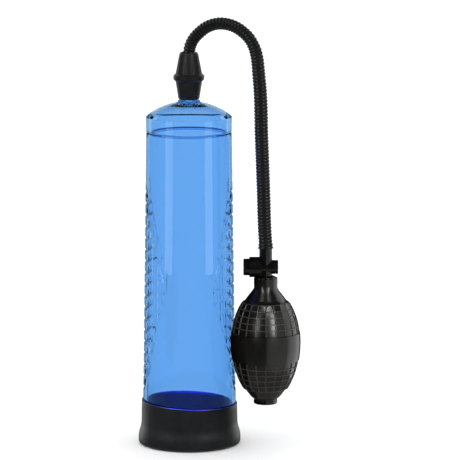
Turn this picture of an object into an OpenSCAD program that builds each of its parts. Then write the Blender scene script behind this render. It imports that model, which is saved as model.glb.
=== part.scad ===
// Hand-bulb vacuum cylinder: a clear tube with a domed end cap, a rubber base sleeve,
// a push-on hose coupling, a corrugated hose, a press-to-release valve and a squeeze bulb
// with two ball check valves. Millimetres, +Z up, origin at the centre of the open mouth,
// on the surface that the sleeve stands on. The bulb hangs at +X, towards -Y.

/* [Tube] */
// Outer radius of the straight foot of the tube, inside the sleeve
tube_foot_r = 30.85; // [29.5:0.05:32]
// Height where the straight foot ends and the taper starts
tube_foot_top = 31; // [29:0.5:40]
// Height of the joint between tube and end cap
joint_z = 208.4; // [180:0.1:210]
// Loss of radius per millimetre of height above the foot
tube_taper = 0.0151; // [0:0.0001:0.016]
// Wall thickness of tube and cap skirt
tube_wall = 2.1; // [1.5:0.1:2.5]
// Depth and half height of the V groove that hides the joint
joint_groove = 0.8; // [0.3:0.1:1]

/* [End cap] */
// Radius of the cap's sharp shoulder
shoulder_r = 28.3; // [27:0.1:30]
// Height of the cylindrical skirt, from the joint to the shoulder
skirt_h = 9.5; // [6:0.1:12]
// Rise of the dome above the shoulder
dome_rise = 10.1; // [6:0.1:14]
// Wall thickness of the dome
dome_wall = 3.2; // [2:0.1:4]
// Radius of the flat boss round the nipple
boss_r = 7.4; // [6.5:0.1:9]
// Height of the boss above the dome's apex
boss_h = 1.6; // [1:0.1:3]
// Outer radius of the nipple
nipple_r = 4.2; // [4:0.05:4.24]
// Radius of the air passage through cap and nipple
nipple_bore_r = 3.25; // [2:0.05:3.4]
// Length of the nipple above the boss
nipple_h = 12; // [9:0.1:12.3]

/* [Base sleeve] */
// Height of the rubber sleeve
sleeve_h = 28.6; // [24:0.1:30]
// Thickness of the skirt at its rim
sleeve_rim_t = 0.8; // [0.6:0.1:2]
// How much thicker the skirt is where its flare starts
sleeve_waist_extra = 0.25; // [0.1:0.05:1]
// How far the foot stands out from the rim
sleeve_flare = 2.25; // [1.5:0.05:4]
// Radius of the opening in the base
mouth_r = 24; // [18:0.5:24]
// Thickness of the base under the tube
sleeve_base_h = 5; // [3:0.5:6]

/* [Coupling and hose] */
// Radius of the socket just under the grip ring
socket_top_r = 8.75; // [8:0.05:9.5]
// Radius of the socket near its lower edge
socket_low_r = 7.1; // [6.9:0.05:8]
// Outer radius of the grip ring
ring_r = 10.2; // [9.5:0.1:12]
// Height of the grip ring
ring_h = 5.1; // [4:0.1:6]
// Radius of the fluted nut at the ring
nut_base_r = 8.7; // [8.2:0.1:9.4]
// Radius of the fluted nut near its top
nut_top_r = 6.3; // [6:0.1:8]
// Number of grip flutes round the nut
nut_flutes = 8; // [6:1:12]
// Hose radius in the arch
hose_arch_r = 4.15; // [3.5:0.05:4.4]
// Hose radius on the long drop
hose_drop_r = 4.65; // [4.3:0.05:4.9]

/* [Valve] */
// Height of the cross barrel's axis
valve_z = 121.6; // [121.4:0.1:122.5]
// Radius of the upright stem
stem_r = 4.25; // [4:0.05:4.5]
// Radius of the button barrel
barrel_r = 6.7; // [6.5:0.1:6.9]
// Radius of the release button
button_r = 5.5; // [5:0.1:5.5]
// Radius of the spring side of the cross and of its cap
spring_side_r = 4.6; // [4.4:0.1:5]
// Travel of the release button
button_travel = 2; // [1:0.1:2]

/* [Bulb] */
// Largest radius of the bulb
belly_r = 23.1; // [20:0.1:23.4]
// Height of the largest radius
belly_z = 71.5; // [70:0.1:73]
// Half height of the ellipse above the belly
upper_half = 37; // [35:0.5:40]
// Half height of the ellipse below the belly
lower_half = 41; // [39:0.5:44]
// Wall thickness
bulb_wall = 2.4; // [1.8:0.1:2.8]
// Radius of the collar at the valve
collar_r = 7.8; // [7:0.1:8.4]
// Radius of both check balls
ball_r = 2; // [1.9:0.05:2.1]

/* [Hidden] */
$fn = 96;

// Tube and cap
tube_foot_in = tube_foot_r - tube_wall;
tube_top_r = tube_foot_r - tube_taper * (joint_z - tube_foot_top);
tube_top_in = tube_top_r - tube_wall;
lap_h = 1.6;
lap_t = 1.1;
lap_gap = 0.1;
shoulder_z = joint_z + skirt_h;
dome_apex_z = shoulder_z + dome_rise;
dome_r = (shoulder_r * shoulder_r + dome_rise * dome_rise) / (2 * dome_rise);
dome_centre_z = dome_apex_z - dome_r;
boss_top_z = dome_apex_z + boss_h;
nipple_top_z = boss_top_z + nipple_h;

// Sleeve
sleeve_fit = 0.1;
sleeve_seat_r = tube_foot_r + sleeve_fit;
sleeve_rim_r = sleeve_seat_r + sleeve_rim_t;
sleeve_waist_r = sleeve_rim_r + sleeve_waist_extra;
sleeve_foot_r = sleeve_rim_r + sleeve_flare;
sleeve_round = 2.1;
sleeve_waist_z = 14.7;
lip_top_z = 12;
lip_gap = 0.3;
lip_in_r = tube_foot_in - lip_gap - 1.95;

// Coupling, from its lower edge up
socket_gap = 0.2;
socket_h = 12.1;
socket_round = 1.6;
socket_z = boss_top_z + socket_gap;
push_fit = 0.1;
socket_bore_r = nipple_r + push_fit;
nipple_stop_z = socket_z + 12.4;
socket_port_r = 2.2;
nipple_seal_z = socket_z + 6.4;
nipple_seal_wire_r = 0.9;
ring_z = socket_z + socket_h;
ring_top_z = ring_z + ring_h;
spigot_r = 7;
spigot_top_z = ring_top_z + 2.6;
nut_h = 14;
nut_top_z = ring_top_z + nut_h;
nut_hole_r = 4.7;

// Hose barb: its flange has a little play between spigot and nut, so that it can turn
flange_h = 1.3;
flange_play = 0.15;
flange_z = spigot_top_z + flange_play;
hose_start_z = flange_z + flange_h;
nut_shoulder_z = hose_start_z + flange_play;
barb_low_z = nipple_stop_z + 1.8;
barb_spigot_r = 3.25;
barb_fit = 0.1;
barb_bore_r = 1.6;
barb_groove_z = barb_low_z + 1.6;
swivel_wire_r = 0.6;

// Bulb and valve column
hang = 54.2;
hang_turn = -21.5;
bulb_x = hang * cos(hang_turn);
bulb_y = hang * sin(hang_turn);
hose_end_z = 134;
collar_top_z = 114.6;
collar_low_z = 107.9;
bulb_spigot_r = 5.4;
bulb_spigot_low_z = 104;

// Cross barrel, along X from the column's axis
button_out_x = -14.7;
button_face_t = 1.5;
barrel_x = -10.8;
button_in_x = -8.6;
button_gap = 0.2;
recess_x = button_in_x + button_travel + button_gap;
recess_r = button_r + 0.3;
seat_x = -4;
poppet_x = seat_x + 1;
poppet_back_x = poppet_x + 1.2;
spring_end_x = 3.4;
spring_side_x = 6.3;
cap_x = spring_side_x + 0.3;
cap_out_x = 8.2;
pin_r = 1.25;
pin_fit = 0.05;
chamber_r = 3.6;
poppet_r = chamber_r - 0.4;

// Check valves
ball_lift = 1.2;
ball_port_r = 1.6;
ball_room_r = 2.6;
cage_r = 3.6;
cage_h = 2;
inlet_cage_z = 104.5;
exhaust_cage_z = 31.6;
foot_low_z = 30.5;
foot_top_z = 33;
foot_plug_r = 5.2;

// Height from a cage's upper face to the seat: the ball, its lift, and how far the ball
// stands below the port's edge when it is seated
function seat_above_cage() = ball_r + ball_lift + sqrt(ball_r * ball_r - ball_port_r * ball_port_r);
inlet_seat_z = inlet_cage_z + cage_h + seat_above_cage();
exhaust_seat_z = exhaust_cage_z + cage_h + seat_above_cage();

// Hose route in the upright plane that holds the cylinder's axis and the bulb's axis:
// distance from the cylinder's axis, height
hose_route = [
  [0, hose_start_z], [0, 256], [0.1, 260], [0.5, 263], [1.6, 266.5], [3.9, 270.4],
  [7.5, 274], [12, 277.5], [17.5, 279.8], [23.4, 280.6], [29.4, 279.8], [34.2, 278],
  [38.4, 275.3], [42.2, 271.9], [44.9, 267.9], [46.8, 263.6], [48.2, 257.5], [49, 249.5],
  [49.9, 240.5], [50.5, 231.5], [50.8, 221.5], [51, 211.5], [51.4, 201.5], [51.8, 191.5],
  [52.2, 181.5], [52.6, 171.5], [52.9, 161.5], [53.2, 152], [53.6, 144], [54, 138.5],
  [hang, hose_end_z]
];
hose_sides = 12;

// Belly outline: two half ellipses on one widest point
function bulb_r(z) =
  let (half = z > belly_z ? upper_half : lower_half)
  belly_r * sqrt(1 - pow((z - belly_z) / half, 2));

// Points of a quarter or smaller arc, from angle a to angle b
function arc(x, y, r, a, b, steps = 6) =
  [for (i = [0:steps]) [x + r * cos(a + (b - a) * i / steps), y + r * sin(a + (b - a) * i / steps)]];

function unit(v) = v / norm(v);

module turned(points) {
  rotate_extrude() polygon(points);
}

// Round bar or bore along X on the cross barrel's axis
module cross_bar(x0, x1, r) {
  translate([x0, 0, valve_z]) rotate([0, 90, 0]) cylinder(r = r, h = x1 - x0);
}

module at_bulb() {
  translate([bulb_x, bulb_y, 0]) children();
}

// Swept tube along a list of [distance, height] points in the XZ plane
module swept_hose(route, sides) {
  last = len(route) - 1;
  rings = [
    for (i = [0:last])
      let (
        c = route[i],
        t = i == 0 ? [0, 1] : i == last ? [0, -1] : unit(route[i + 1] - route[i - 1]),
        r = lookup(c[0], [[45, hose_arch_r], [51, hose_drop_r]])
      )
      for (k = [0:sides - 1])
        let (a = 360 * k / sides)
        [c[0] - t[1] * r * cos(a), r * sin(a), c[1] + t[0] * r * cos(a)]
  ];
  walls = [
    for (i = [0:last - 1], k = [0:sides - 1])
      let (n = (k + 1) % sides)
      [i * sides + k, (i + 1) * sides + k, (i + 1) * sides + n, i * sides + n]
  ];
  start_cap = [for (k = [0:sides - 1]) k];
  end_cap_face = [for (k = [sides - 1:-1:0]) last * sides + k];
  polyhedron(points = rings, faces = concat([start_cap], walls, [end_cap_face]), convexity = 6);
}

// Clear tapered tube, open at both ends, chamfered at the cap joint
module tube() {
  color([0.25, 0.55, 0.95, 0.5])
  turned([
    [tube_foot_in, sleeve_base_h], [tube_foot_r, sleeve_base_h], [tube_foot_r, tube_foot_top],
    [tube_top_r, joint_z - joint_groove], [tube_top_r - joint_groove, joint_z],
    [tube_top_in, joint_z], [tube_foot_in, tube_foot_top]
  ]);
}

// Clear domed cap with a short lap inside the tube, a boss and the hose nipple
module end_cap() {
  skirt_in = tube_top_in - lap_gap - lap_t;
  color([0.3, 0.6, 1, 0.5])
  difference() {
    union() {
      difference() {
        union() {
          turned([
            [0, joint_z - lap_h], [tube_top_in - lap_gap, joint_z - lap_h],
            [tube_top_in - lap_gap, joint_z], [tube_top_r - joint_groove, joint_z],
            [tube_top_r, joint_z + joint_groove], [shoulder_r, shoulder_z], [0, shoulder_z]
          ]);
          intersection() {
            translate([0, 0, dome_centre_z]) sphere(r = dome_r, $fn = 128);
            translate([0, 0, shoulder_z]) cylinder(r = shoulder_r, h = dome_rise + 1);
          }
        }
        intersection() {
          translate([0, 0, dome_centre_z]) sphere(r = dome_r - dome_wall, $fn = 128);
          translate([0, 0, joint_z - lap_h - 1]) cylinder(r = skirt_in, h = skirt_h + dome_rise);
        }
      }
      translate([0, 0, dome_apex_z - 2]) cylinder(r = boss_r, h = boss_h + 2);
      turned([
        [0, dome_apex_z - 1], [nipple_r, dome_apex_z - 1], [nipple_r, nipple_top_z - 0.6],
        [nipple_r - 0.4, nipple_top_z], [0, nipple_top_z]
      ]);
    }
    translate([0, 0, shoulder_z]) cylinder(r = nipple_bore_r, h = nipple_top_z);
  }
}

// Rubber sleeve: a skirt outside the tube, a base with the mouth and a short inner lip
module base_sleeve() {
  lip_r = tube_foot_in - lip_gap;
  rim_edge = 0.3;
  color([0.13, 0.13, 0.14])
  turned(concat(
    [[mouth_r, 0]],
    arc(sleeve_foot_r - sleeve_round, sleeve_round, sleeve_round, -90, 0),
    [[sleeve_foot_r, 6.2], [sleeve_foot_r - 0.5, 8], [sleeve_waist_r + 0.3, sleeve_waist_z - 2.7]],
    [[sleeve_waist_r, sleeve_waist_z], [sleeve_rim_r, sleeve_h - rim_edge]],
    [[sleeve_rim_r - rim_edge, sleeve_h], [sleeve_seat_r, sleeve_h], [sleeve_seat_r, sleeve_base_h]],
    [[lip_r, sleeve_base_h], [lip_r, lip_top_z], [lip_r - 0.6, lip_top_z + 0.6]],
    [[lip_in_r, lip_top_z], [lip_in_r, sleeve_base_h + 1.5], [mouth_r, sleeve_base_h]]
  ));
}

// Lower half of the coupling, which pushes over the nipple
module coupling_socket() {
  color([0.12, 0.12, 0.13])
  difference() {
    turned(concat(
      [[0, socket_z]],
      arc(socket_low_r - socket_round, socket_z + socket_round, socket_round, -90, 0),
      [[socket_top_r, ring_z], [spigot_r, ring_z], [spigot_r, spigot_top_z], [0, spigot_top_z]]
    ));
    translate([0, 0, socket_z - 1]) cylinder(r = socket_bore_r, h = nipple_stop_z - socket_z + 1);
    translate([0, 0, nipple_seal_z - nipple_seal_wire_r])
      cylinder(r = socket_bore_r + 2 * nipple_seal_wire_r, h = 2 * nipple_seal_wire_r);
    translate([0, 0, socket_z]) cylinder(r = socket_port_r, h = 20);
    translate([0, 0, barb_low_z - 0.2]) cylinder(r = barb_spigot_r + barb_fit, h = 20);
  }
}

// Seal ring in the socket, round the nipple
module nipple_seal() {
  color([0.2, 0.2, 0.2])
  translate([0, 0, nipple_seal_z])
  rotate_extrude() translate([socket_bore_r + nipple_seal_wire_r, 0])
    circle(r = nipple_seal_wire_r, $fn = 32);
}

// Grip ring clamped between socket and nut
module grip_ring() {
  edge = 1.4;
  color([0.14, 0.14, 0.15])
  turned([
    [spigot_r, ring_z], [ring_r - edge, ring_z], [ring_r, ring_z + edge],
    [ring_r, ring_top_z - edge], [ring_r - edge, ring_top_z], [spigot_r, ring_top_z]
  ]);
}

// Fluted nut that holds the hose barb in the socket
module hose_nut() {
  flute_r = 3;
  flute_depth = 0.35;
  lean = atan2(nut_base_r - nut_top_r, nut_h);
  color([0.14, 0.14, 0.15])
  difference() {
    turned([
      [0, ring_top_z], [nut_base_r, ring_top_z], [nut_top_r, nut_top_z - 1.4],
      [nut_top_r - 0.5, nut_top_z - 0.4], [nut_top_r - 1, nut_top_z], [0, nut_top_z]
    ]);
    for (k = [0:nut_flutes - 1])
      rotate([0, 0, (k + 0.5) * 360 / nut_flutes])
        translate([nut_base_r + flute_r - flute_depth, 0, ring_top_z + 1])
          rotate([0, -lean, 0]) cylinder(r = flute_r, h = 20, $fn = 48);
    translate([0, 0, ring_top_z - 1]) cylinder(r = spigot_r, h = nut_shoulder_z - ring_top_z + 1);
    translate([0, 0, ring_top_z]) cylinder(r = nut_hole_r, h = 20);
  }
}

// Swivelling barb: its flange is trapped in the coupling and its shank is in the hose
module hose_barb() {
  shank_r = 2.5;
  flange_r = spigot_r - 0.4;
  groove = 2 * swivel_wire_r;
  color([0.3, 0.3, 0.32])
  turned([
    [barb_bore_r, barb_low_z], [barb_spigot_r, barb_low_z],
    [barb_spigot_r, barb_groove_z], [barb_spigot_r - groove, barb_groove_z],
    [barb_spigot_r - groove, barb_groove_z + groove], [barb_spigot_r, barb_groove_z + groove],
    [barb_spigot_r, flange_z], [flange_r, flange_z], [flange_r, hose_start_z],
    [shank_r, hose_start_z], [shank_r, hose_start_z + 2.5], [shank_r + 0.4, hose_start_z + 2.5],
    [shank_r, hose_start_z + 4.5], [shank_r + 0.4, hose_start_z + 4.5],
    [shank_r - 0.2, hose_start_z + 7], [barb_bore_r, hose_start_z + 7]
  ]);
}

// Seal ring in the barb's groove
module swivel_seal() {
  color([0.2, 0.2, 0.2])
  translate([0, 0, barb_groove_z + swivel_wire_r])
  rotate_extrude() translate([barb_spigot_r - swivel_wire_r, 0])
    circle(r = swivel_wire_r, $fn = 32);
}

module hose() {
  color([0.1, 0.1, 0.11])
  rotate([0, 0, hang_turn]) swept_hose(hose_route, hose_sides);
}

// Valve body: stem with hose barb, cross barrel, inlet valve seat and bulb spigot
module valve_body() {
  barb_r = 2.9;
  neck_r = barb_r - 0.4;
  foot_r = 6.3;
  vent_holes = 4;
  vent_r = 0.5;
  vent_circle_r = 2.3;
  color([0.05, 0.05, 0.05])
  at_bulb() difference() {
    union() {
      turned([
        [0, bulb_spigot_low_z], [bulb_spigot_r, bulb_spigot_low_z], [bulb_spigot_r, collar_top_z],
        [foot_r, collar_top_z], [foot_r, collar_top_z + 0.6], [stem_r, collar_top_z + 1.6],
        [stem_r, hose_end_z], [neck_r, hose_end_z], [neck_r, hose_end_z + 3],
        [barb_r, hose_end_z + 3], [neck_r, hose_end_z + 5.5], [barb_r, hose_end_z + 5.5],
        [neck_r - 0.2, hose_end_z + 8], [0, hose_end_z + 8]
      ]);
      cross_bar(barrel_x, -2.5, barrel_r);
      cross_bar(-2.5, spring_side_x, spring_side_r);
    }
    cross_bar(barrel_x - 1, recess_x, recess_r);
    cross_bar(seat_x, spring_side_x + 1, chamber_r);
    cross_bar(recess_x - 1, seat_x + 1, pin_r + pin_fit);
    for (k = [0:vent_holes - 1])
      translate([recess_x - 1, 0, valve_z]) rotate([(k + 0.5) * 360 / vent_holes, 0, 0])
        translate([0, vent_circle_r, 0]) rotate([0, 90, 0])
          cylinder(r = vent_r, h = seat_x - recess_x + 2, $fn = 24);
    translate([0, 0, valve_z]) cylinder(r = barb_bore_r, h = 30);
    translate([0, 0, inlet_seat_z - 1]) cylinder(r = ball_port_r, h = valve_z - inlet_seat_z + 1);
    translate([0, 0, inlet_cage_z]) cylinder(r = ball_room_r, h = inlet_seat_z - inlet_cage_z);
    translate([0, 0, bulb_spigot_low_z - 1])
      cylinder(r = cage_r, h = inlet_cage_z + cage_h - bulb_spigot_low_z + 1);
  }
}

// Plug with a rim that closes the spring side of the cross barrel
module spring_cap() {
  edge = 0.4;
  color([0.06, 0.06, 0.06])
  at_bulb() union() {
    cross_bar(spring_end_x, cap_x, chamber_r);
    cross_bar(cap_x, cap_out_x - edge, spring_side_r);
    translate([cap_out_x - edge, 0, valve_z]) rotate([0, 90, 0])
      cylinder(r1 = spring_side_r, r2 = spring_side_r - edge, h = edge);
  }
}

// Flat washer between the spring cap's rim and the valve body
module spring_cap_seal() {
  color([0.2, 0.2, 0.2])
  at_bulb() difference() {
    cross_bar(spring_side_x, cap_x, spring_side_r - 0.3);
    cross_bar(spring_side_x - 1, cap_x + 1, chamber_r);
  }
}

// Button cup that slides in the barrel, with a boss for the stem
module release_button() {
  cup_x = button_out_x + button_face_t;
  cup_wall = 0.9;
  boss_wall = 1.1;
  edge = 0.5;
  color([0.07, 0.07, 0.07])
  at_bulb() difference() {
    union() {
      translate([button_out_x, 0, valve_z]) rotate([0, 90, 0])
        cylinder(r1 = button_r - edge, r2 = button_r, h = edge);
      cross_bar(button_out_x + edge, button_in_x, button_r);
    }
    difference() {
      cross_bar(cup_x, button_in_x + 1, button_r - cup_wall);
      cross_bar(cup_x - 1, button_in_x - 1, pin_r + boss_wall);
    }
    cross_bar(cup_x, button_in_x + 1, pin_r);
  }
}

// Pin pressed into the button, with the poppet head and the spring's guide
module release_stem() {
  spring_guide = 1.2;
  color([0.7, 0.7, 0.72])
  at_bulb() union() {
    cross_bar(button_out_x + button_face_t, poppet_x, pin_r);
    cross_bar(poppet_x, poppet_back_x, poppet_r);
    cross_bar(poppet_back_x, poppet_back_x + spring_guide, pin_r);
  }
}

// Soft disc on the stem that closes the vent holes
module poppet_seal() {
  color([0.25, 0.25, 0.25])
  at_bulb() difference() {
    cross_bar(seat_x, poppet_x, poppet_r);
    cross_bar(seat_x - 1, poppet_x + 1, pin_r);
  }
}

// Compression spring between the poppet head and the spring cap
module release_spring() {
  wire_r = 0.35;
  coil_r = 2.4;
  turns = 3.5;
  steps_per_turn = 16;
  sides = 8;
  last = turns * steps_per_turn;
  length = spring_end_x - poppet_back_x - 2 * wire_r;
  rings = [
    for (i = [0:last])
      let (a = 360 * i / steps_per_turn, x = poppet_back_x + wire_r + length * i / last)
      for (k = [0:sides - 1])
        let (b = 360 * k / sides, r = coil_r + wire_r * cos(b))
        [x + wire_r * sin(b), r * cos(a), r * sin(a)]
  ];
  walls = [
    for (i = [0:last - 1], k = [0:sides - 1])
      let (n = (k + 1) % sides)
      [i * sides + k, i * sides + n, (i + 1) * sides + n, (i + 1) * sides + k]
  ];
  start_face = [for (k = [sides - 1:-1:0]) k];
  end_face = [for (k = [0:sides - 1]) last * sides + k];
  color([0.75, 0.75, 0.78])
  at_bulb() translate([0, 0, valve_z])
    polyhedron(points = rings, faces = concat([start_face], walls, [end_face]), convexity = 8);
}

// Round plate with air holes that keeps a check ball in
module ball_cage(z) {
  holes = 4;
  hole_r = 0.7;
  circle_r = 1.9;
  difference() {
    translate([0, 0, z]) cylinder(r = cage_r, h = cage_h);
    for (k = [0:holes - 1])
      rotate([0, 0, 360 * k / holes]) translate([circle_r, 0, z - 1])
        cylinder(r = hole_r, h = cage_h + 2, $fn = 24);
  }
}

module inlet_cage() {
  color([0.35, 0.35, 0.36]) at_bulb() ball_cage(inlet_cage_z);
}

module inlet_ball() {
  color([0.8, 0.8, 0.82])
  at_bulb() translate([0, 0, inlet_cage_z + cage_h + ball_r]) sphere(r = ball_r, $fn = 48);
}

// Hollow squeeze bulb: collar, shoulder, two grip bands set back from a smooth belly
module bulb() {
  upper_band = [98.6, 78.5];
  lower_band = [59.8, 40.6];
  upper_inset = 0.8;
  lower_inset = 1;
  steps = 6;
  inner = bulb_wall + lower_inset;
  foot_bore_r = foot_plug_r + 0.05;
  outside = concat(
    [[bulb_spigot_r, collar_top_z], [collar_r, collar_top_z], [collar_r - 0.1, collar_low_z]],
    [[14.3, upper_band[0]]],
    [for (i = [0:steps]) let (z = upper_band[0] + (upper_band[1] - upper_band[0]) * i / steps)
      [bulb_r(z) - upper_inset, z]],
    [for (i = [0:steps]) let (z = upper_band[1] + (lower_band[0] - upper_band[1]) * i / steps)
      [bulb_r(z), z]],
    [for (i = [0:steps]) let (z = lower_band[0] + (lower_band[1] - lower_band[0]) * i / steps)
      [bulb_r(z) - lower_inset, z]],
    [[13.2, lower_band[1]], [12.8, 39.5], [9.9, 35.4], [7.6, 33.6], [7.6, foot_top_z]]
  );
  inside = concat(
    [[foot_bore_r, foot_top_z], [foot_bore_r, 38], [8.6, 39.2]],
    [for (z = [43:5.3:96]) [bulb_r(z) - inner, z]],
    [[9.5, 102], [bulb_spigot_r, 105.5]]
  );
  color([0.06, 0.06, 0.06]) at_bulb() turned(concat(outside, inside));
}

// Flanged plug in the bulb's foot, with the exhaust valve's seat
module exhaust_seat() {
  plug_top_z = 41;
  color([0.05, 0.05, 0.05])
  at_bulb() difference() {
    turned([
      [0, foot_low_z], [7.3, foot_low_z], [7.8, foot_low_z + 0.5], [7.8, foot_top_z - 0.4],
      [7.5, foot_top_z], [foot_plug_r, foot_top_z], [foot_plug_r, plug_top_z - 0.5],
      [foot_plug_r - 0.5, plug_top_z], [0, plug_top_z]
    ]);
    translate([0, 0, foot_low_z - 1]) cylinder(r = ball_room_r, h = exhaust_seat_z - foot_low_z + 1);
    translate([0, 0, exhaust_seat_z - 1]) cylinder(r = ball_port_r, h = 20);
    translate([0, 0, foot_low_z - 1]) cylinder(r = cage_r, h = exhaust_cage_z + cage_h - foot_low_z + 1);
  }
}

module exhaust_cage() {
  color([0.35, 0.35, 0.36]) at_bulb() ball_cage(exhaust_cage_z);
}

module exhaust_ball() {
  color([0.8, 0.8, 0.82])
  at_bulb() translate([0, 0, exhaust_cage_z + cage_h + ball_r]) sphere(r = ball_r, $fn = 48);
}

tube();
end_cap();
base_sleeve();
coupling_socket();
nipple_seal();
grip_ring();
hose_nut();
hose_barb();
swivel_seal();
hose();
valve_body();
spring_cap();
spring_cap_seal();
release_button();
release_stem();
poppet_seal();
release_spring();
inlet_cage();
inlet_ball();
bulb();
exhaust_seat();
exhaust_cage();
exhaust_ball();
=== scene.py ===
"""Looks of a hand-bulb vacuum cylinder: clear tube and cap, rubber sleeve, ribbed hose and bulb."""

import math

import bmesh
import bpy
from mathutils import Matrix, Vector


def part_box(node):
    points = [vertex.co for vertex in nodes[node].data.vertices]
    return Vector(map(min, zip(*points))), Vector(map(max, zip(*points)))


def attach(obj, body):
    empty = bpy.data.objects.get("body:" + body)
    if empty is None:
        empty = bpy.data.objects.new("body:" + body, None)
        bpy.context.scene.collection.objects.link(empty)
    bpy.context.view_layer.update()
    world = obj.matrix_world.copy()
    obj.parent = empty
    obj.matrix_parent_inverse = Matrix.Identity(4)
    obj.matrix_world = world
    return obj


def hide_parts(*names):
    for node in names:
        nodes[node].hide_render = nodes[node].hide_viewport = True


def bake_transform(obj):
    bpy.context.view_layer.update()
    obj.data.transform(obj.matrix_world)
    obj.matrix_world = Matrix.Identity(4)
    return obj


MM = 0.001

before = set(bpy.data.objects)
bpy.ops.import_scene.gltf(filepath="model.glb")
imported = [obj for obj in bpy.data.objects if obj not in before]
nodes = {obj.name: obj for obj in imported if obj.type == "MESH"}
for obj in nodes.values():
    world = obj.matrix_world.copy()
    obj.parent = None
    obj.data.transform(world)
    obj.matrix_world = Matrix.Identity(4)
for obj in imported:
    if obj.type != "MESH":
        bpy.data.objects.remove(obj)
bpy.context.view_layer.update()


# ---------------------------------------------------------------- camera

def link(obj):
    bpy.context.scene.collection.objects.link(obj)
    return obj


LENS_MM = 251.7
SENSOR_MM = 36
CAMERA_PLACE = (0.027, -2.1, 0.474)
CAMERA_DROP = math.radians(8.957)


def make_camera():
    """Long lens, a little above the object, looking down by about nine degrees."""
    data = bpy.data.cameras.new("camera")
    data.sensor_width = SENSOR_MM
    data.lens = LENS_MM
    data.clip_end = 50
    camera = link(bpy.data.objects.new("camera", data))
    camera.location = CAMERA_PLACE
    camera.rotation_euler = (math.radians(90) - CAMERA_DROP, 0, 0)
    bpy.context.scene.camera = camera


make_camera()


# ---------------------------------------------------------------- mesh helpers

def mark_sharp(mesh, degrees):
    """Smooth shading, with an edge left sharp where its faces turn by more than the given degrees."""
    limit = math.radians(degrees)
    bm = bmesh.new()
    bm.from_mesh(mesh)
    for face in bm.faces:
        face.smooth = True
    for edge in bm.edges:
        edge.smooth = len(edge.link_faces) == 2 and edge.calc_face_angle(0) < limit
    bm.to_mesh(mesh)
    bm.free()


def make_mesh(name, points, faces, sharp=40):
    mesh = bpy.data.meshes.new(name)
    mesh.from_pydata(points, [], faces)
    bm = bmesh.new()
    bm.from_mesh(mesh)
    bmesh.ops.recalc_face_normals(bm, faces=bm.faces)
    bm.to_mesh(mesh)
    bm.free()
    mark_sharp(mesh, sharp)
    return link(bpy.data.objects.new(name, mesh))


def round_trip(count):
    """Evenly spaced angles of a full turn, in degrees, with 0 towards the camera and 90 towards +X."""
    return [360 * k / count for k in range(count)]


def turned(name, outline, angles, centre=(0, 0), shift=None, sharp=40):
    """A closed ring: the closed outline of (radius, height) points, in mm, at each angle.
    shift(radius, height, angle) gives a point's moved radius, height and angle."""
    points = []
    for ring_angle in angles:
        for radius, height in outline:
            angle = ring_angle
            if shift:
                radius, height, angle = shift(radius, height, angle)
            turn = math.radians(angle)
            x = centre[0] + radius * math.sin(turn)
            y = centre[1] - radius * math.cos(turn)
            points.append((x * MM, y * MM, height * MM))
    size, rings = len(outline), len(angles)
    faces = []
    for i in range(rings):
        for j in range(size):
            a, b = i * size + j, i * size + (j + 1) % size
            c, d = ((i + 1) % rings) * size + (j + 1) % size, ((i + 1) % rings) * size + j
            faces.append((a, b, c, d))
    return make_mesh(name, points, faces, sharp)


def arc(x, y, radius, start, end, steps=6):
    """Points on an arc round (x, y), from angle start to angle end in degrees."""
    turns = [math.radians(start + (end - start) * i / steps) for i in range(steps + 1)]
    return [(x + radius * math.cos(t), y + radius * math.sin(t)) for t in turns]


def steps_between(start, end, count):
    return [start + (end - start) * i / count for i in range(count + 1)]


def box_mm(node):
    low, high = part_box(node)
    return low / MM, high / MM


# ---------------------------------------------------------------- sizes, from the frame

tube_low, tube_high = box_mm("tube")
cap_low, cap_high = box_mm("end_cap")
sleeve_high = box_mm("base_sleeve")[1]
bulb_low, bulb_high = box_mm("bulb")
bulb_centre = ((bulb_low.x + bulb_high.x) / 2, (bulb_low.y + bulb_high.y) / 2)

tube_foot_r = tube_high.x
tube_wall = 2.1
tube_taper = 0.0151
tube_straight_top = 31
joint_z = tube_high.z
tube_top_r = tube_foot_r - tube_taper * (joint_z - tube_straight_top)


# ---------------------------------------------------------------- hose

HOSE_ROUTE = [
    (0, 251.05), (0, 256), (0.1, 260), (0.5, 263), (1.6, 266.5), (3.9, 270.4),
    (7.5, 274), (12, 277.5), (17.5, 279.8), (23.4, 280.6), (29.4, 279.8), (34.2, 278),
    (38.4, 275.3), (42.2, 271.9), (44.9, 267.9), (46.8, 263.6), (48.2, 257.5), (49, 249.5),
    (49.9, 240.5), (50.5, 231.5), (50.8, 221.5), (51, 211.5), (51.4, 201.5), (51.8, 191.5),
    (52.2, 181.5), (52.6, 171.5), (52.9, 161.5), (53.2, 152), (53.6, 144), (54, 138.5),
    (54.2, 134),
]
HANG_TURN = math.radians(-21.5)
HOSE_PITCH = 2.2
HOSE_RIDGE = 0.55
RIDGE_STEPS = 6
HOSE_SIDES = 36
HOSE_WALL = 1.3
ARCH_HOSE_R = 4.15
DROP_HOSE_R = 4.65
SMOOTHINGS = 30


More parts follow.
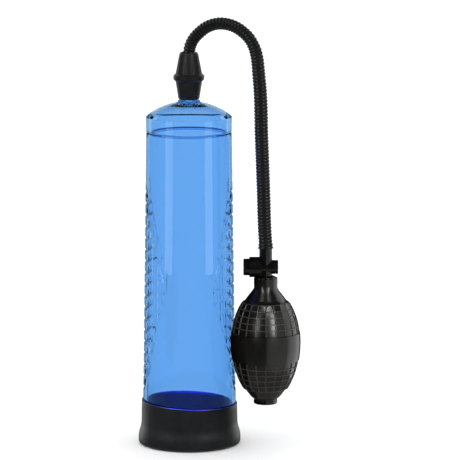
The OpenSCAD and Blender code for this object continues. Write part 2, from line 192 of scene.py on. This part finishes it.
def spline(points, step):
    """Points about every step along a smoothed Catmull-Rom curve near the given ones, and its length."""
    fine = []
    ends = [points[0]] + list(points) + [points[-1]]
    for i in range(1, len(ends) - 2):
        p0, p1, p2, p3 = (Vector(p) for p in ends[i - 1:i + 3])
        for k in range(24):
            t = k / 24
            fine.append(0.5 * (2 * p1 + (p2 - p0) * t + (2 * p0 - 5 * p1 + 4 * p2 - p3) * t ** 2
                               + (3 * p1 - p0 - 3 * p2 + p3) * t ** 3))
    fine.append(Vector(points[-1]))
    for _ in range(SMOOTHINGS):
        fine[1:-1] = [(a + 2 * b + c) / 4 for a, b, c in zip(fine, fine[1:], fine[2:])]
    lengths = [0]
    for a, b in zip(fine, fine[1:]):
        lengths.append(lengths[-1] + (b - a).length)
    count = round(lengths[-1] / step)
    found, j = [], 0
    for k in range(count + 1):
        wanted = lengths[-1] * k / count
        while j < len(fine) - 2 and lengths[j + 1] < wanted:
            j += 1
        t = (wanted - lengths[j]) / (lengths[j + 1] - lengths[j])
        found.append(fine[j].lerp(fine[j + 1], t))
    return found, lengths[-1]


def hose_point(across, height, side=0.0):
    """A point of the hose's upright plane, in metres; side is the distance off that plane."""
    x = across * math.cos(HANG_TURN) - side * math.sin(HANG_TURN)
    y = across * math.sin(HANG_TURN) + side * math.cos(HANG_TURN)
    return (x * MM, y * MM, height * MM)


def hose_radius(across):
    """The hose is thinner where it is stretched round the arch."""
    share = min(1, max(0, (across - 45) / 6))
    return ARCH_HOSE_R + (DROP_HOSE_R - ARCH_HOSE_R) * share


def make_hose():
    """A ribbed skin down the route, flared over the stem at its end, and a plain bore back up."""
    route, length = spline(HOSE_ROUTE, HOSE_PITCH / RIDGE_STEPS)
    last = len(route) - 1
    rings = []
    for i, centre in enumerate(route):
        phase = (i % RIDGE_STEPS) / RIDGE_STEPS
        ridge = 0.5 - 0.5 * math.cos(2 * math.pi * phase)
        radius = hose_radius(centre[0]) - HOSE_RIDGE * (1 - ridge ** 0.6)
        if last - i < 2 * RIDGE_STEPS:
            radius += 0.5 * (1 - (last - i) / (2 * RIDGE_STEPS))
        rings.append((i, radius))
    rings += [(last, hose_radius(route[last][0]) - 0.35)]
    inner = [(i, hose_radius(route[i][0]) - HOSE_WALL) for i in range(last, -1, -3 * RIDGE_STEPS)]
    rings += inner
    if inner[-1][0] != 0:
        rings.append((0, inner[-1][1]))
    points, faces = [], []
    for i, radius in rings:
        before, after = route[max(0, i - 1)], route[min(last, i + 1)]
        along = (after - before).normalized()
        out = Vector((along[1], -along[0]))
        for k in range(HOSE_SIDES):
            a = 2 * math.pi * k / HOSE_SIDES
            u = route[i] + out * radius * math.cos(a)
            points.append(hose_point(u[0], u[1], radius * math.sin(a)))
    count = len(rings)
    for i in range(count):
        for k in range(HOSE_SIDES):
            n, m = (k + 1) % HOSE_SIDES, (i + 1) % count
            near, far = i * HOSE_SIDES, m * HOSE_SIDES
            faces.append((near + k, far + k, far + n, near + n))
    hose = make_mesh("ribbed_hose", points, faces, 60)
    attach(hose, "hose_line")
    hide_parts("hose")
    path = [hose_point(*p) for p in route[::RIDGE_STEPS]]
    if last % RIDGE_STEPS:
        path.append(hose_point(*route[last]))
    return hose


hose = make_hose()


# ---------------------------------------------------------------- clear tube

ROW_PITCH = 7.7
ROWS = [38 + ROW_PITCH * k for k in range(20)]
ROW_HALF = 1.5
ROW_STEPS = (-1.5, -1.0, -0.4, 0, 0.4, 1.0, 1.5, 2.9, 4.8)
COLUMN_PITCH = 10.4
COLUMNS = [COLUMN_PITCH * (k + 0.5) for k in range(-6, 6)]
COLUMN_HALF = 0.9
FREE_STEPS = (3.1, 5.2, 7.3)
FIELD_MIDDLE = 104.5
FIELD_FLAT = 8
FIELD_HALF = COLUMNS[-1]
FIELD_SLOPE = 0.8
BORDER_HALF = 0.9
BORDER_DEPTH = 0.16
GROOVE_DEPTH = 0.85
COLUMN_DEPTH = 0.22
ROW_FADE = 0.88
ROW_FADE_START = 12
ROW_FADE_SPAN = 18
JOINT_HALF = 0.4
JOINT_DEPTH = 0.8


def field_half(z):
    """Half width, in degrees, of the lozenge of grip cells on each flank at a height."""
    return FIELD_HALF - FIELD_SLOPE * max(0, abs(z - FIELD_MIDDLE) - FIELD_FLAT)


def from_flank(angle):
    """The signed angle from the middle of the nearer flank, and that middle."""
    middle = min((90, 270), key=lambda m: abs(angle - m))
    return angle - middle, middle


def tube_cut(z, offset):
    """Depth of the grip grooves: broad soft rows, narrow columns, and a fine line round the lozenge."""
    half = field_half(z)
    across = abs(offset)
    border = BORDER_DEPTH * max(0, 1 - abs(across - half) / BORDER_HALF)
    if across > half:
        return border
    row = min(ROWS, key=lambda r: abs(r - z))
    run_out = 1 - ROW_FADE * min(1, max(0, across - ROW_FADE_START) / ROW_FADE_SPAN)
    row_depth = GROOVE_DEPTH * run_out * max(0, 1 - abs(z - row) / ROW_HALF)
    column = min(COLUMNS, key=lambda c: abs(c - offset))
    near = abs(offset - column) < COLUMN_HALF / 2 and abs(column) < half + 0.01
    return max(row_depth, border, COLUMN_DEPTH if near else 0)


def follow_border(z, angle):
    """Moves the free lines between two columns onto the lozenge's edge where it passes between them."""
    offset, middle = from_flank(angle)
    gap = (abs(offset) / COLUMN_PITCH - 0.5) // 1 + 0.5
    inside = abs(offset) - gap * COLUMN_PITCH
    edge = field_half(z) - gap * COLUMN_PITCH
    step = min(range(3), key=lambda i: abs(FREE_STEPS[i] - inside))
    if gap < 0 or abs(FREE_STEPS[step] - inside) > 0.01 or not 0 < edge < COLUMN_PITCH:
        return angle
    moved = min(COLUMN_PITCH - 1.2, max(1.2, edge + (step - 1) * BORDER_HALF)) + 0.01 * (step - 1)
    return middle + math.copysign(gap * COLUMN_PITCH + moved, offset)


def grip_angles():
    """Angles with lines on each groove's edges and floor, and wider steps elsewhere."""
    steps = (0.15, COLUMN_HALF, *FREE_STEPS, COLUMN_PITCH - COLUMN_HALF, COLUMN_PITCH - 0.15)
    found = []
    for middle in (90, 270):
        found += [middle - COLUMN_PITCH / 2 + d for d in steps]
        for side in (-1, 1):
            found += [middle + side * (column + d) for column in COLUMNS[6:-1] for d in steps]
            found += [middle + side * (COLUMNS[-1] + d) for d in (0.15, COLUMN_HALF)]
    gap = steps_between(-29, 29, 20)
    return sorted(found + [a % 360 for a in gap] + [a + 180 for a in gap])


def grip_heights():
    return [row + d for row in ROWS for d in ROW_STEPS]


def make_tube():
    """The tapered tube. Its outer side has the grip field, its top edge half of the joint's groove."""
    def outer_r(z):
        return tube_foot_r - tube_taper * max(0, z - tube_straight_top)

    seam = 0.03
    top = joint_z - seam
    foot = tube_low.z + seam
    inner_r = tube_foot_r - tube_wall
    inner_top = tube_top_r - tube_wall
    below_grip = [foot + 0.4, 12, 20, 27, tube_straight_top, 34.5]
    above_grip = [192, 198, 204]
    outer = [(outer_r(z), z) for z in below_grip + grip_heights() + above_grip]
    outline = [(inner_r + 0.3, foot), (tube_foot_r - 0.4, foot)] + outer
    outline += [(tube_top_r, top - 0.8), (tube_top_r - 0.08, top - JOINT_HALF)]
    outline += [(tube_top_r - JOINT_DEPTH, top - 0.05), (tube_top_r - JOINT_DEPTH - 0.1, top)]
    outline += [(inner_top, top)]
    outline += [(inner_top + tube_taper * (top - z), z) for z in steps_between(200, 40, 8)]
    outline += [(inner_r, tube_straight_top - 4), (inner_r, foot + 0.3)]

    def shift(radius, z, angle):
        if abs(radius - outer_r(z)) < 0.01:
            angle = follow_border(z, angle)
            radius -= tube_cut(z, from_flank(angle)[0])
        return radius, z, angle

    tube = turned("clear_tube", outline, grip_angles(), shift=shift, sharp=25)
    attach(tube, "cylinder")
    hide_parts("tube")
    return tube


tube = make_tube()


# ---------------------------------------------------------------- clear cap

def make_cap():
    """The cap: a skirt that laps into the tube, a shallow dome, its boss and the hollow nipple."""
    skirt_in = tube_top_r - tube_wall - 1.2
    lap_r = tube_top_r - tube_wall - 0.1
    lap_low = cap_low.z
    shoulder_r = cap_high.x
    shoulder_z = joint_z + 10.3
    rise = 9.9
    apex_z = shoulder_z + rise
    dome_r = (shoulder_r ** 2 + rise ** 2) / (2 * rise)
    centre_z = apex_z - dome_r
    boss_r, boss_z = 7.4, apex_z + 1.0
    nipple_r, bore_r = 4.2, 3.25
    top_z = cap_high.z
    edge = 0.35

    def on_dome(radius):
        return (radius, centre_z + math.sqrt(dome_r ** 2 - radius ** 2))

    def under_dome(radius):
        """The dome thins towards its edge."""
        return (radius, on_dome(radius)[1] - 2.3 + 1.05 * radius / skirt_in)

    outline = [(skirt_in + 0.2, lap_low), (lap_r - 0.2, lap_low), (lap_r, lap_low + 0.2), (lap_r, joint_z)]
    outline += [(tube_top_r - JOINT_DEPTH - 0.1, joint_z), (tube_top_r - JOINT_DEPTH, joint_z + 0.05)]
    outline += [(tube_top_r - 0.08, joint_z + JOINT_HALF), (tube_top_r, joint_z + JOINT_HALF + 0.12)]
    outline += [(tube_top_r, joint_z + 1.2), (shoulder_r, shoulder_z - edge - 0.5)]
    outline += arc(shoulder_r - edge, shoulder_z - edge, edge, 0, 55, 5)
    outline += [on_dome(r) for r in steps_between(shoulder_r - 0.8, boss_r + 0.7, 24)]
    outline += [(boss_r + 0.15, on_dome(boss_r)[1] + 0.2), (boss_r, on_dome(boss_r)[1] + 0.6)]
    outline += arc(boss_r - 0.7, boss_z - 0.7, 0.7, 0, 90)
    outline += [(nipple_r + 0.5, boss_z), (nipple_r + 0.1, boss_z + 0.15), (nipple_r, boss_z + 0.6)]
    outline += [(nipple_r, top_z - 0.6), (nipple_r - 0.4, top_z)]
    outline += [(bore_r + 0.2, top_z), (bore_r, top_z - 0.2)]
    outline += [(bore_r, z) for z in steps_between(top_z - 4, under_dome(bore_r)[1] + 1, 4)]
    outline += [(bore_r + 0.15, under_dome(bore_r)[1] + 0.3)]
    outline += [under_dome(r) for r in steps_between(bore_r + 0.6, skirt_in - 0.3, 22)]
    inner_z = under_dome(skirt_in)[1]
    outline += [(skirt_in - 0.06, inner_z - 0.08), (skirt_in, inner_z - 0.35), (skirt_in, inner_z - 0.9)]
    outline += [(skirt_in, joint_z), (skirt_in, lap_low + 0.2)]
    cap = turned("clear_cap", outline, round_trip(160), sharp=50)
    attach(cap, "cylinder")
    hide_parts("end_cap")
    return cap


cap = make_cap()


# ---------------------------------------------------------------- rubber sleeve

def make_sleeve():
    """The rubber foot: a flared outside, a stretched rim, and a lip inside that holds the tube."""
    seat_r = tube_foot_r + 0.1
    rim_r = seat_r + 0.8
    foot_r = sleeve_high.x
    top_z = sleeve_high.z
    waist_r, waist_z = rim_r + 0.25, 14.7
    mouth_r, base_h = 24, 5
    lip_r = tube_foot_r - tube_wall - 0.3
    lip_in = lip_r - 1.95
    rounding = 2.1
    outline = [(mouth_r + 0.4, 0)] + arc(foot_r - rounding, rounding, rounding, -90, 0, 8)
    flare_z = 4.4
    for turn in steps_between(0, math.pi, 10)[1:]:
        outline.append((
            waist_r + (foot_r - waist_r) * (0.5 + 0.5 * math.cos(turn)),
            flare_z + (waist_z - flare_z) * turn / math.pi,
        ))
    for share in (0.35, 0.7):
        outline.append((
            waist_r + (rim_r - waist_r) * share,
            waist_z + (top_z - 0.5 - waist_z) * share,
        ))
    outline += arc(rim_r - 0.42, top_z - 0.42, 0.42, 0, 90, 5)
    outline += [(seat_r + 0.2, top_z), (seat_r, top_z - 0.25)]
    outline += [(seat_r, z) for z in steps_between(26, base_h, 3)]
    outline += [(lip_r, base_h), (lip_r, 12), (lip_r - 0.3, 12.5)]
    outline += arc(lip_r - 0.9, 12, 0.6, 80, 160, 4)
    outline += [(lip_in, 10.5), (lip_in, base_h + 1.8), (lip_in - 0.5, base_h + 1.1)]
    outline += [(mouth_r + 0.5, base_h), (mouth_r + 0.1, base_h - 0.4)]
    outline += [(mouth_r, base_h - 1), (mouth_r, 0.4)]

    def shift(radius, z, angle):
        """The stretched rim sits a little askew, higher on the left."""
        share = min(1, max(0, (z - 14) / (top_z - 14)))
        drop = (1.2 * math.sin(math.radians(angle)) + 0.4) * share ** 2
        return radius, z - drop, angle

    sleeve = turned("rubber_sleeve", outline, round_trip(144), shift=shift, sharp=50)
    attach(sleeve, "sleeve")
    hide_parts("base_sleeve")
    return sleeve


sleeve = make_sleeve()


# ---------------------------------------------------------------- squeeze bulb

BULB_COLUMNS = 20
UPPER_BAND = (98.6, 78.5)
LOWER_BAND = (59.8, 40.6)
RIB_ROWS = 5
RIB_HALF = 0.42
RIB_TOP = 0.2
RIB_HEIGHT = 0.6


def band_rows(band):
    """Heights of a band's ribs, from the top down."""
    return [band[0] + (band[1] - band[0]) * (k + 1) / RIB_ROWS for k in range(RIB_ROWS - 1)]


BULB_ROWS = band_rows(UPPER_BAND) + band_rows(LOWER_BAND)


def make_bulb():
    """The hollow bulb, with two sunken bands that each hold a raised grid of ribs."""
    belly_r = (bulb_high.x - bulb_low.x) / 2
    belly_z = 71.5
    wall = 2.4

    def belly(z):
        half = 37 if z > belly_z else 41
        return belly_r * math.sqrt(1 - ((z - belly_z) / half) ** 2)

    pitch = 360 / BULB_COLUMNS

    def rib_lines(band):
        found = [band[0], band[0] - 0.5]
        marks = [band[0]] + band_rows(band) + [band[1]]
        for above, below in zip(marks, marks[1:]):
            found += steps_between(above - 1.0, below + 1.0, 1)
            if below != band[1]:
                found += [below + d for d in (RIB_HALF, RIB_TOP, -RIB_TOP, -RIB_HALF)]
        return found + [band[1] + 0.25, band[1]]

    upper = [(belly(z) - 0.8, z) for z in rib_lines(UPPER_BAND)]
    lower = [(belly(z) - 1.0, z) for z in rib_lines(LOWER_BAND)]
    plain = [UPPER_BAND[1] - 0.3] + steps_between(77, 61.3, 8) + [LOWER_BAND[0] + 0.3]
    collar_r = 7.8
    spigot_r = 5.45
    top_z = bulb_high.z
    foot_z = bulb_low.z
    shoulder = [(collar_r - 0.1, 107.9), (collar_r + 0.25, 107.1), (9.0, 105.7), (10.8, 103.4)]
    shoulder += [(12.6, 101), (14.2, 98.9)]
    outline = [(spigot_r + 0.2, top_z), (collar_r - 0.3, top_z), (collar_r, top_z - 0.3)]
    outline += [(collar_r, 111)]
    outline += shoulder + upper
    outline += [(belly(z), z) for z in plain]
    outline += lower
    outline += [(13.3, 40.2), (12.6, 39.2), (11.2, 37.3), (9.9, 35.6), (8.6, 34.4), (7.75, 33.9)]
    outline += [(7.6, 33.5), (7.6, foot_z + 0.1), (7.5, foot_z), (5.5, foot_z), (5.3, foot_z + 0.2)]
    outline += [(5.3, 38), (8.6, 39.2)]
    outline += [(belly(z) - wall - 1, z) for z in steps_between(43, 96, 8)]
    outline += [(9.5, 102), (spigot_r, 105.5)]

    def shift(radius, z, angle):
        """Raises the points that lie on a rib, with sloping sides."""
        for high, low in (UPPER_BAND, LOWER_BAND):
            if low < z < high and radius > belly(z) - 1.5:
                near = min(BULB_ROWS, key=lambda r: abs(r - z))
                column = round(angle / pitch) * pitch
                row_share = (RIB_HALF - abs(z - near)) / (RIB_HALF - RIB_TOP)
                across = math.radians(angle - column) * radius
                column_share = (RIB_HALF - abs(across)) / (RIB_HALF - RIB_TOP)
                share = min(1, max(0, row_share, column_share))
                return radius + RIB_HEIGHT * share, z, angle
        return radius, z, angle

    edge = math.degrees(RIB_HALF / (belly_r - 3))
    crest = math.degrees(RIB_TOP / (belly_r - 3))
    angles = []
    for k in range(BULB_COLUMNS):
        angles += [k * pitch + d for d in (-edge, -crest, crest, edge, 5.0, 9.0, 13.0)]
    angles = sorted(a % 360 for a in angles)
    return turned("squeeze_bulb", outline, angles, centre=bulb_centre, shift=shift, sharp=35)


bulb = make_bulb()
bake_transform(bulb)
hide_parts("bulb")


# ---------------------------------------------------------------- materials

def new_material(name):
    made = bpy.data.materials.new(name)
    made.use_nodes = True
    tree = made.node_tree
    shader = next(n for n in tree.nodes if n.type == "BSDF_PRINCIPLED")
    return made, tree, shader


def noise(tree, scale, detail=4, stretch=(1, 1, 1)):
    """Noise in the piece's own metres; scale is features per metre."""
    place = tree.nodes.new("ShaderNodeTexCoord")
    mapping = tree.nodes.new("ShaderNodeMapping")
    mapping.inputs["Scale"].default_value = stretch
    texture = tree.nodes.new("ShaderNodeTexNoise")
    texture.inputs["Scale"].default_value = scale
    texture.inputs["Detail"].default_value = detail
    texture.inputs["Roughness"].default_value = 0.6
    tree.links.new(place.outputs["Object"], mapping.inputs["Vector"])
    tree.links.new(mapping.outputs["Vector"], texture.inputs["Vector"])
    return texture.outputs["Fac"]


def remap(tree, value, low, high):
    """Spreads the middle of a noise value over low to high."""
    node = tree.nodes.new("ShaderNodeMapRange")
    node.inputs["From Min"].default_value = 0.3
    node.inputs["From Max"].default_value = 0.7
    node.inputs["To Min"].default_value = low
    node.inputs["To Max"].default_value = high
    tree.links.new(value, node.inputs["Value"])
    return node.outputs["Result"]


def bump(tree, shader, height, distance):
    node = tree.nodes.new("ShaderNodeBump")
    node.inputs["Distance"].default_value = distance
    node.inputs["Strength"].default_value = 1.0
    tree.links.new(height, node.inputs["Height"])
    tree.links.new(node.outputs["Normal"], shader.inputs["Normal"])


def tint(tree, shader, value, dark, light):
    """Base Color from dark to light as the value goes from 0 to 1."""
    mix = tree.nodes.new("ShaderNodeMix")
    mix.data_type = "RGBA"
    mix.inputs["A"].default_value = (*dark, 1)
    mix.inputs["B"].default_value = (*light, 1)
    tree.links.new(value, mix.inputs["Factor"])
    tree.links.new(mix.outputs["Result"], shader.inputs["Base Color"])


CLOUD_SCALE = 60
GLOSS_SCALE = 180


def moulded(name, dark, light, rough, grain, depth):
    """An opaque moulded plastic or rubber: fine grain, and slow changes of gloss and of colour."""
    made, tree, shader = new_material(name)
    tint(tree, shader, remap(tree, noise(tree, CLOUD_SCALE), 0, 1), dark, light)
    gloss = remap(tree, noise(tree, GLOSS_SCALE, 5), rough[0], rough[1])
    tree.links.new(gloss, shader.inputs["Roughness"])
    shader.inputs["IOR"].default_value = 1.5
    shader.inputs["Specular IOR Level"].default_value = 0.5
    bump(tree, shader, noise(tree, grain, 3), depth)
    return made


CLEAR_BLUE = (0.465, 0.705, 0.965)
DEPTH_BLUE = (0.072, 0.572, 0.932)


def clear_plastic(name, colour, density, ior):
    """Tinted see-through plastic: a tint at each face, and some more where the light travels far in it."""
    made, tree, shader = new_material(name)
    shader.inputs["Base Color"].default_value = (*colour, 1)
    shader.inputs["Transmission Weight"].default_value = 1
    shader.inputs["IOR"].default_value = ior
    tree.links.new(remap(tree, noise(tree, 90, 3), 0.0, 0.02), shader.inputs["Roughness"])
    bump(tree, shader, noise(tree, 70, 2, stretch=(1, 1, 0.25)), 0.00003)
    inside = tree.nodes.new("ShaderNodeVolumeAbsorption")
    inside.inputs["Color"].default_value = (*DEPTH_BLUE, 1)
    inside.inputs["Density"].default_value = density
    output = next(n for n in tree.nodes if n.type == "OUTPUT_MATERIAL")
    tree.links.new(inside.outputs["Volume"], output.inputs["Volume"])
    return made


def steel(name):
    """Bright drawn steel with fine marks across its length."""
    made, tree, shader = new_material(name)
    tint(tree, shader, noise(tree, 400), (0.5, 0.5, 0.5), (0.68, 0.68, 0.69))
    shader.inputs["Metallic"].default_value = 1
    tree.links.new(remap(tree, noise(tree, 900, 4), 0.18, 0.34), shader.inputs["Roughness"])
    bump(tree, shader, noise(tree, 3000, 2, stretch=(1, 1, 6)), 0.00001)
    return made


tube_plastic = clear_plastic("clear_blue_tube", CLEAR_BLUE, 120, 1.45)
cap_plastic = clear_plastic("clear_blue_cap", CLEAR_BLUE, 60, 1.36)
sleeve_rubber = moulded(
    "sleeve_rubber", dark=(0.0036, 0.004, 0.0046), light=(0.006, 0.0065, 0.0074),
    rough=(0.34, 0.44), grain=2500, depth=0.00003,
)
coupling_plastic = moulded(
    "coupling_black", dark=(0.0035, 0.0035, 0.0044), light=(0.006, 0.006, 0.0072),
    rough=(0.36, 0.48), grain=2800, depth=0.00003,
)
hose_rubber = moulded(
    "hose_black", dark=(0.003, 0.003, 0.0033), light=(0.005, 0.005, 0.0055),
    rough=(0.28, 0.38), grain=2500, depth=0.00002,
)
valve_plastic = moulded(
    "valve_black", dark=(0.0008, 0.0008, 0.0007), light=(0.0016, 0.0016, 0.0014),
    rough=(0.1, 0.18), grain=900, depth=0.00001,
)
# Painted highlight: the bulb's ribs and band edges get a lighter grey than its body, standing in for the
# light their edges catch.
rib_painted_highlight = moulded(
    "bulb_rib_painted_highlight", dark=(0.012, 0.0115, 0.01), light=(0.02, 0.019, 0.016),
    rough=(0.3, 0.4), grain=1500, depth=0.00001,
)
bulb_vinyl = moulded(
    "bulb_black", dark=(0.0012, 0.0012, 0.001), light=(0.003, 0.0028, 0.0022),
    rough=(0.2, 0.27), grain=700, depth=0.00001,
)
seal_rubber = moulded(
    "seal_rubber", dark=(0.012, 0.012, 0.012), light=(0.03, 0.03, 0.03),
    rough=(0.5, 0.65), grain=4000, depth=0.00002,
)
inner_plastic = moulded(
    "inner_plastic", dark=(0.1, 0.1, 0.1), light=(0.14, 0.14, 0.145),
    rough=(0.35, 0.5), grain=3000, depth=0.00002,
)
bright_steel = steel("bright_steel")


def paint(obj, made):
    obj.data.materials.clear()
    obj.data.materials.append(made)


def paint_rib_highlight(obj, made):
    """The second material, on the faces of the raised grid: a lighter grey than the bulb's body, a painted
    highlight for the light that the ribs' edges catch.
    """
    obj.data.materials.append(made)
    pitch = 360 / BULB_COLUMNS
    for face in obj.data.polygons:
        x, y, z = face.center / MM
        x, y = x - bulb_centre[0], y - bulb_centre[1]
        radius = math.hypot(x, y)
        angle = math.degrees(math.atan2(x, -y))
        off_column = abs(math.radians(angle - round(angle / pitch) * pitch) * radius)
        off_row = min(abs(row - z) for row in (*BULB_ROWS, UPPER_BAND[0], LOWER_BAND[1]))
        in_band = any(low < z < high for high, low in (UPPER_BAND, LOWER_BAND))
        if in_band and radius > 14 and min(off_column, off_row) < RIB_HALF:
            face.material_index = 1


def paint_node(name, made):
    for slot in nodes[name].material_slots:
        slot.material = made


paint(tube, tube_plastic)
paint(cap, cap_plastic)
paint(sleeve, sleeve_rubber)
paint(hose, hose_rubber)
paint(bulb, bulb_vinyl)
paint_rib_highlight(bulb, rib_painted_highlight)
NODE_MATERIALS = {
    "coupling_socket": coupling_plastic, "grip_ring": coupling_plastic, "hose_nut": coupling_plastic,
    "nipple_seal": seal_rubber, "swivel_seal": seal_rubber, "spring_cap_seal": seal_rubber,
    "poppet_seal": seal_rubber, "hose_barb": inner_plastic, "inlet_cage": inner_plastic,
    "exhaust_cage": inner_plastic, "valve_body": valve_plastic, "spring_cap": valve_plastic,
    "release_button": valve_plastic, "exhaust_seat": valve_plastic, "release_stem": bright_steel,
    "release_spring": bright_steel, "inlet_ball": bright_steel, "exhaust_ball": bright_steel,
}
for node_name, node_material in NODE_MATERIALS.items():
    paint_node(node_name, node_material)


# ---------------------------------------------------------------- floor and light

FLOOR_HALF = 12
FLOOR_DROP = 0.0002
FLAG_HALF = 0.036
FLAG_HEIGHT = 0.086
BULB_ACROSS = 54
WHITE = (1, 1, 1)
DEEP_BLUE = (0.15, 0.27, 0.6)
DIM = (0.01, 0.01, 0.01)
FLOOR_GREY = (0.3, 0.3, 0.3)
SOFT_FILL = (1.6, 1.6, 1.6)


def one_face(name, corners):
    mesh = bpy.data.meshes.new(name)
    mesh.from_pydata(corners, [], [(0, 1, 2, 3)])
    return link(bpy.data.objects.new(name, mesh)), mesh


def make_floor():
    """A pale matt floor that blocks no light and shows in no reflection and through no clear plastic."""
    half = FLOOR_HALF
    corners = [(-half, -half, 0), (half, -half, 0), (half, half, 0), (-half, half, 0)]
    floor, mesh = one_face("floor", corners)
    floor.location.z = -FLOOR_DROP
    made, tree, shader = new_material("pale_floor")
    tint(tree, shader, noise(tree, 30), (0.86, 0.86, 0.86), (0.88, 0.88, 0.88))
    shader.inputs["Roughness"].default_value = 0.9
    mesh.materials.append(made)
    floor.visible_glossy = False
    floor.visible_transmission = False
    floor.visible_shadow = False


def make_flag():
    """A black card between tube and bulb, seen only in reflections, so they don't mirror each other."""
    half, top = FLAG_HALF, FLAG_HEIGHT
    flag, mesh = one_face("flag", [(0, -half, 0), (0, half, 0), (0, half, top), (0, -half, top)])
    bulb_r = (bulb_high.x - bulb_low.x) / 2
    flag.location = hose_point((tube_foot_r + BULB_ACROSS - bulb_r) / 2, 30)
    flag.rotation_euler.z = HANG_TURN
    made, tree, shader = new_material("flag_black")
    shader.inputs["Base Color"].default_value = (0, 0, 0, 1)
    shader.inputs["Specular IOR Level"].default_value = 0
    mesh.materials.append(made)
    flag.visible_camera = False
    flag.visible_diffuse = False
    flag.visible_transmission = False
    flag.visible_shadow = False


def ramp(tree, value, stops):
    """A ramp over (position, colour) stops."""
    node = tree.nodes.new("ShaderNodeValToRGB")
    elements = node.color_ramp.elements
    while len(elements) < len(stops):
        elements.new(0.5)
    for element, (position, colour) in zip(elements, stops):
        element.position = position
        element.color = (*colour, 1)
    tree.links.new(value, node.inputs["Fac"])
    return node.outputs["Color"]


def blend_colour(tree, factor, a, b):
    """Colour a where the factor is 0 and b where it is 1; each is a tuple or another node's output."""
    node = tree.nodes.new("ShaderNodeMix")
    node.data_type = "RGBA"
    tree.links.new(factor, node.inputs["Factor"])
    for socket, value in ((node.inputs["A"], a), (node.inputs["B"], b)):
        if isinstance(value, tuple):
            socket.default_value = (*value, 1)
        else:
            tree.links.new(value, socket)
    return node.outputs["Result"]


def make_world():
    """White, and brighter for soft light. Overhead it darkens behind clear plastic. Reflections are dim."""
    world = bpy.data.worlds.new("studio")
    bpy.context.scene.world = world
    world.use_nodes = True
    tree = world.node_tree
    background = next(n for n in tree.nodes if n.type == "BACKGROUND")
    path = tree.nodes.new("ShaderNodeLightPath")
    place = tree.nodes.new("ShaderNodeTexCoord")
    split = tree.nodes.new("ShaderNodeSeparateXYZ")
    tree.links.new(place.outputs["Generated"], split.inputs["Vector"])
    height = tree.nodes.new("ShaderNodeMath")
    height.operation = "MULTIPLY_ADD"
    tree.links.new(split.outputs["Z"], height.inputs[0])
    height.inputs[1].default_value = 0.5
    height.inputs[2].default_value = 0.5
    seen_through = ramp(tree, height.outputs["Value"], [(0.62, WHITE), (0.75, DEEP_BLUE)])
    mirrored = ramp(tree, height.outputs["Value"], [(0.2, FLOOR_GREY), (0.38, DIM)])

    through = path.outputs["Is Transmission Ray"]
    glossy = tree.nodes.new("ShaderNodeMath")
    glossy.operation = "SUBTRACT"
    glossy.use_clamp = True
    tree.links.new(path.outputs["Is Glossy Ray"], glossy.inputs[0])
    tree.links.new(through, glossy.inputs[1])
    colour = blend_colour(tree, path.outputs["Is Diffuse Ray"], WHITE, SOFT_FILL)
    colour = blend_colour(tree, through, colour, seen_through)
    colour = blend_colour(tree, glossy.outputs["Value"], colour, mirrored)
    tree.links.new(colour, background.inputs["Color"])
    background.inputs["Strength"].default_value = 1.0


def make_light(name, place, aim, size, power, receivers, colour=WHITE, through_plastic=False):
    """A soft panel that lights only the receivers, and with through_plastic only they shade it."""
    data = bpy.data.lights.new(name, "AREA")
    data.shape = "RECTANGLE"
    data.size, data.size_y = size
    data.energy = power
    data.color = colour
    light = link(bpy.data.objects.new(name, data))
    light.location = place
    light.rotation_euler = (Vector(aim) - Vector(place)).to_track_quat("-Z", "Y").to_euler()
    light.visible_camera = False
    light.visible_transmission = False
    group = bpy.data.collections.new(name + "_receivers")
    for obj in receivers:
        group.objects.link(obj)
    light.light_linking.receiver_collection = group
    if through_plastic:
        light.light_linking.blocker_collection = group


def at(azimuth, distance, height):
    """A place round the object: azimuth 0 is in front, 90 is at +X."""
    a = math.radians(azimuth)
    return (distance * math.sin(a), -distance * math.cos(a), height)


make_floor()
make_flag()
make_world()
clear_pieces = [tube, cap]
glossy_pieces = [bulb] + [nodes[n] for n in ("valve_body", "spring_cap", "release_button", "exhaust_seat")]
coupling_pieces = [nodes[n] for n in ("coupling_socket", "grip_ring", "hose_nut")]
satin_pieces = [sleeve, hose] + coupling_pieces
make_light(
    "base_glow", place=(0, 0, 0.045), aim=(0, 0, 0), size=(0.03, 0.03), power=0.2,
    receivers=[sleeve], colour=(0.02, 0.03, 1), through_plastic=True,
)
# Each on both sides: name, azimuth, distance, height, height aimed at, size, power, receivers, colour
SIDE_LIGHTS = (
    ("tube_panel", 53, 0.7, 0.42, 0.42, (0.26, 0.8), 1.7, clear_pieces, (0.65, 0.83, 1)),
    ("tube_rim", 166, 1.2, 0.2, 0.2, (0.6, 1.4), 1.6, clear_pieces, (0.4, 0.68, 1)),
    ("sleeve_panel", 57, 0.65, 0.78, 0, (0.2, 0.26), 9, [sleeve], WHITE),
    ("hose_panel", 65, 0.65, 0.78, 0.2, (0.2, 0.26), 1.2, [hose], WHITE),
    ("coupling_panel", 40, 0.65, 0.6, 0.2, (0.2, 0.5), 1.3, coupling_pieces, WHITE),
    ("backdrop", 140, 1.2, 0.4, 0.15, (1.0, 1.4), 4.5, satin_pieces, WHITE),
)
for side in (-1, 1):
    for name, azimuth, distance, height, aim_z, size, power, receivers, colour in SIDE_LIGHTS:
        place = at(azimuth * side, distance, height)
        make_light(name, place, (0, 0, aim_z), size, power, receivers, colour)
hang = Vector((bulb_centre[0] * MM, bulb_centre[1] * MM, 0))
# Round the bulb's axis: name, place, size, power
BULB_LIGHTS = (
    ("strip_left", at(-33, 0.6, 0.65), (0.07, 1.0), 3.2),
    ("strip_right", at(27, 0.6, 0.65), (0.1, 1.0), 4.2),
    ("side_right", at(112, 0.8, 0.25), (1.0, 1.3), 6),
    ("front_low", at(42, 0.8, 0.05), (1.2, 1.2), 2.6),
)
for name, place, size, power in BULB_LIGHTS:
    make_light(name, hang + Vector(place), hang + Vector((0, 0, place[2])), size, power, glossy_pieces)

bpy.context.scene.view_settings.view_transform = "Standard"
